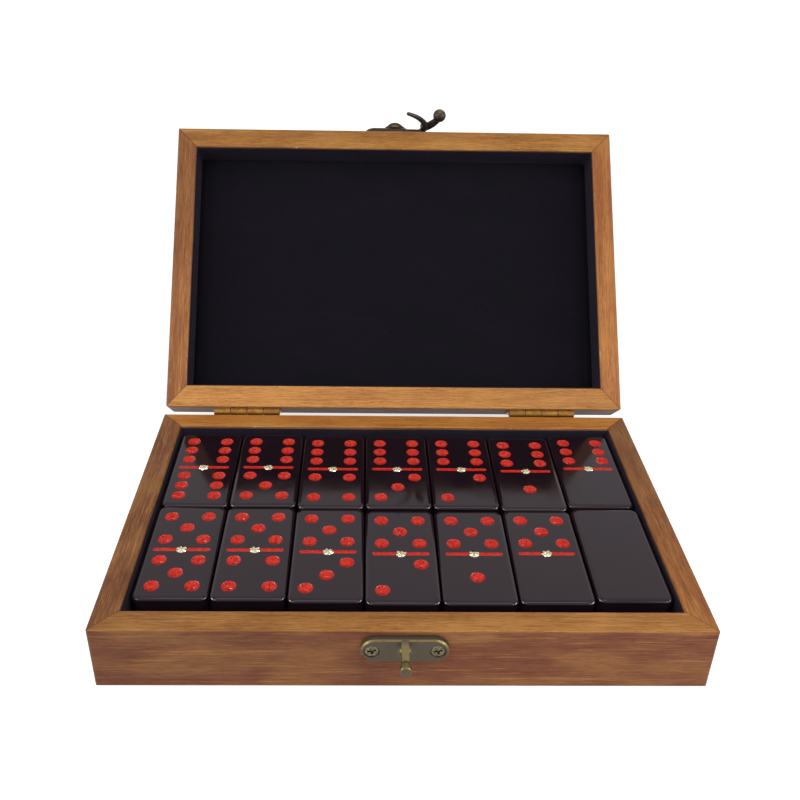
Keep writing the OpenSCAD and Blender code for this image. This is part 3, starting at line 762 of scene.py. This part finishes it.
def wall_lining(name, low, high, thick, seed, face_up):
    """A strip round the four walls: its free edge is rolled, and it is a little uneven."""
    corners = [(low.x, low.y), (high.x, low.y), (high.x, high.y), (low.x, high.y)]
    tall = high.z - low.z
    profile = [
        (0, 0), (0, 0.5), (0, 0.96), (0.25, 0.99), (0.6, 1), (0.9, 0.985), (1, 0.955),
        (0.96, 0.8), (0.93, 0.55), (0.94, 0.3), (1, 0.08), (1, 0),
    ]
    stations = []
    for k, (x0, y0) in enumerate(corners):
        x1, y1 = corners[(k + 1) % 4]
        length = math.hypot(x1 - x0, y1 - y0)
        way = ((x1 - x0) / length, (y1 - y0) / length)
        inward = (-way[1], way[0])
        steps = max(8, round(length / STRIP_STEP))
        stations.append(((x0, y0), (way[0] + inward[0], way[1] + inward[1])))
        for i in range(1, steps):
            reach = length * i / steps
            stations.append(((x0 + way[0] * reach, y0 + way[1] * reach), inward))
    bm = bmesh.new()
    loops = []
    for (x, y), inward in stations:
        lift = STRIP_EDGE * ripple((x, y, 1), seed, 0.02)
        loop = []
        for depth, height in profile:
            on_face = 0.9 < depth < 1
            wave = STRIP_WAVE * ripple((x, y, height * tall), seed + 7, 0.009) if on_face else 0
            d = thick * min(1, depth + wave)
            z = tall * min(1, height + (lift - STRIP_EDGE if height > 0.9 else 0))
            z = low.z + z if face_up else high.z - z
            loop.append(bm.verts.new((x + inward[0] * d, y + inward[1] * d, z)))
        loops.append(loop)
    for a, b in zip(loops, loops[1:] + loops[:1]):
        for face in ring_faces(bm, a, b):
            face.smooth = True
    return as_mesh(bm, name)


def make_linings():
    for part, in_lid, flat_node in (
        ("base", False, "base_floor_lining"), ("lid", True, "lid_top_lining")
    ):
        wall_node = part + "_wall_lining"
        get = shut_box if in_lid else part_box
        low, high = get(flat_node)
        wide, long = high.x - low.x, high.y - low.y
        flat = flat_lining(flat_node + "_cloth", low, high, 3 if in_lid else 1, not in_lid)
        low, high = get(wall_node)
        strip = wall_lining(wall_node + "_cloth", low, high, LINING_T, 5, not in_lid)
        for mesh, node, cut, backing in (
            (flat, flat_node, (wide, long), part + ("_top_panel" if in_lid else "_floor_panel")),
            (strip, wall_node, (2 * (wide + long), high.z - low.z), part + "_back_rail"),
        ):
            if in_lid:
                mesh.transform(OPEN_LID)
            # The wall strips take the lighter copy of the velvet, a painted light.
            pile = VELVET if node == flat_node else VELVET_WALLS_PAINTED_LIGHT
            piece = add_piece(node + "_cloth", mesh, part, (pile,))
            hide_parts(node)


# ---------------------------------------------------------------- stage and light

FLOOR_REACH, FLOOR_DROP, FLOOR_GLOW = 8.0, 0.0002, 0.58
SKY_ON_OBJECT, SKY_SEEN = 0.55, 1.0


def shown_ray(s):
    """1 for rays that see the background straight, in a polished surface or through glass."""
    path = s.add("ShaderNodeLightPath").outputs
    seen = s.math("MAXIMUM", path["Is Camera Ray"], path["Is Glossy Ray"])
    return s.math("MAXIMUM", seen, path["Is Transmission Ray"])


def make_floor():
    s = Shader("floor")
    s.set(
        base_color=(0.8, 0.8, 0.8, 1),
        roughness=0.9,
        specular_ior_level=0.1,
        emission_color=(1, 1, 1, 1),
        emission_strength=s.math("MULTIPLY", shown_ray(s), FLOOR_GLOW),
    )
    mesh = bpy.data.meshes.new("floor")
    corners = [(x * FLOOR_REACH, y * FLOOR_REACH, 0) for x, y in ((-1, -1), (1, -1), (1, 1), (-1, 1))]
    mesh.from_pydata(corners, [], [(0, 1, 2, 3)])
    mesh.materials.append(s.material)
    floor = bpy.data.objects.new("floor", mesh)
    floor.location.z = -FLOOR_DROP
    bpy.context.scene.collection.objects.link(floor)


def make_world():
    world = bpy.data.worlds.new("world")
    bpy.context.scene.world = world
    world.use_nodes = True
    sky = Nodes(world.node_tree)
    back = sky.tree.nodes["Background"]
    back.inputs["Color"].default_value = (1, 1, 1, 1)
    strength = sky.span(shown_ray(sky), 0, 1, SKY_ON_OBJECT, SKY_SEEN)
    sky.plug(strength, back.inputs["Strength"])


def area_light(name, at, target, size, power, tint=(1, 1, 1), only_glossy=False):
    data = bpy.data.lights.new(name, "AREA")
    data.shape = "RECTANGLE"
    data.size, data.size_y = size
    data.energy = power
    data.color = tint
    lamp = bpy.data.objects.new(name, data)
    lamp.location = at
    lamp.rotation_euler = (Vector(target) - Vector(at)).to_track_quat("-Z", "Y").to_euler()
    lamp.visible_diffuse = not only_glossy
    bpy.context.scene.collection.objects.link(lamp)


def make_lights():
    middle = (0, 0.02, 0.03)
    cool = (0.94, 0.98, 1)
    area_light("left", (-0.52, -0.6, 0.6), middle, (0.3, 0.3), 2.3, cool)
    area_light("right", (0.52, -0.6, 0.6), middle, (0.3, 0.3), 2.1, cool)
    area_light("above", (0, -0.2, 0.95), middle, (0.6, 0.3), 1.2)
    for side in (-1, 1):  # the soft glints on polished corners
        area_light("glint", (side * 0.8, -0.22, 0.3), middle, (0.5, 0.3), 9, cool, True)


bpy.context.scene.view_settings.view_transform = "Standard"
dress_cad()
for tile_node in [n for n in NODES if n.startswith("tile_")]:
    make_tile(tile_node)
make_linings()
make_floor()
make_world()
make_lights()
